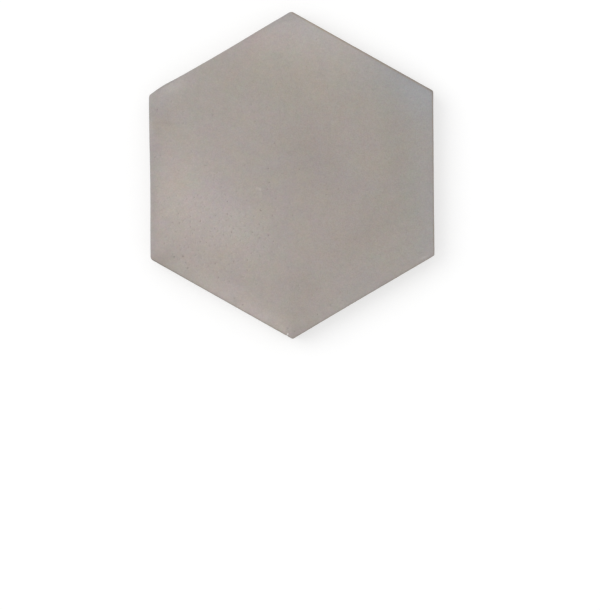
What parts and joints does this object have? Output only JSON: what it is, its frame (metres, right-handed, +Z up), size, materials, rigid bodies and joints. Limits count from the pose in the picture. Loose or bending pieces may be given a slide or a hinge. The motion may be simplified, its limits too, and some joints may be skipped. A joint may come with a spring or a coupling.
{
  "type": "hexagon floor tile",
  "caption": "Flat hexagonal concrete floor tile with sides that lean in to the back, rounded corners and an eased arris.",
  "frame": {"origin": "middle of the back, on the level that the tile lies on", "axes": "+Z up through the face, X across the flats, Y from point to point"},
  "size_m": [0.2, 0.2298, 0.016],
  "materials": {
    "concrete": "matte"
  },
  "bodies": {
    "root": {"hexagon_tile": "concrete"}
  },
  "joints": []
}
